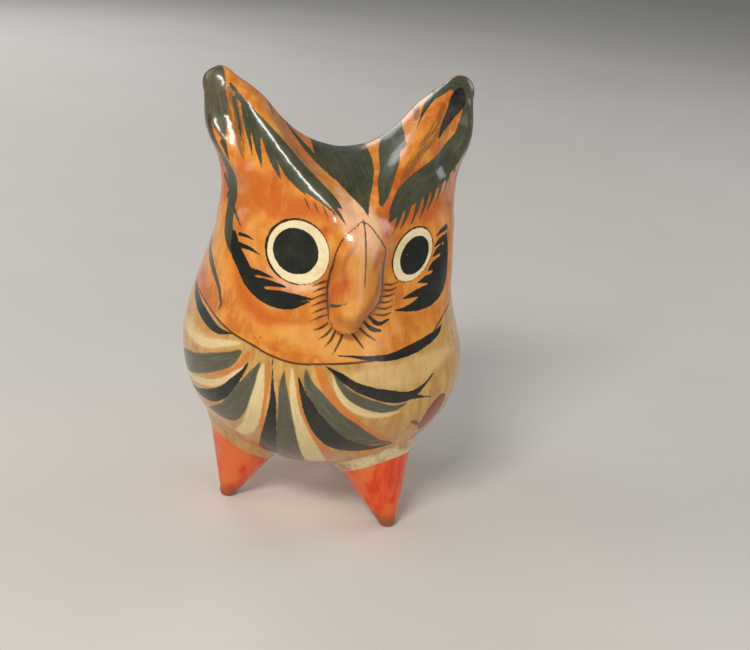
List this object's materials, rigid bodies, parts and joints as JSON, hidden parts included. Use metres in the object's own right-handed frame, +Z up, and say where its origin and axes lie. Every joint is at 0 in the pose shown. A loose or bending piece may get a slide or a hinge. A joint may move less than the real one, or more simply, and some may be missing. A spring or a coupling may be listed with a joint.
{
  "type": "pottery owl",
  "caption": "Hollow painted pottery owl with a turned head, horn-like ears, a hooked beak and conical feet, made of half shells joined with coils of clay.",
  "frame": {"origin": "on the ground under the middle of the belly", "axes": "+Z up, the chest faces -Y, +X is the owl's own left side, and the head is turned 30 degrees to its left"},
  "size_m": [0.0923, 0.0875, 0.1454],
  "materials": {
    "painted_body": "burnished and varnished tan slip with dark brush strokes",
    "painted_head": "burnished and varnished orange slip with dark brush strokes",
    "painted_beak": "burnished and varnished amber slip",
    "red_feet": "burnished and varnished red slip",
    "cream_collar": "burnished and varnished cream slip",
    "raw_clay": "unpainted fired clay, matt"
  },
  "bodies": {
    "root": {"body_front_shell": "painted_body", "body_back_shell": "painted_body", "face_shell": "painted_head", "nape_shell": "painted_head", "ear_right": "painted_head", "ear_left": "painted_head", "beak": "painted_beak", "foot_front_right": "red_feet", "foot_front_left": "red_feet", "foot_rear": "red_feet", "collar_front_right": "cream_collar", "collar_front_left": "cream_collar", "collar_rear": "cream_collar", "body_seam_coil": "raw_clay", "neck_coil": "raw_clay", "head_seam_coil": "raw_clay"}
  },
  "joints": []
}
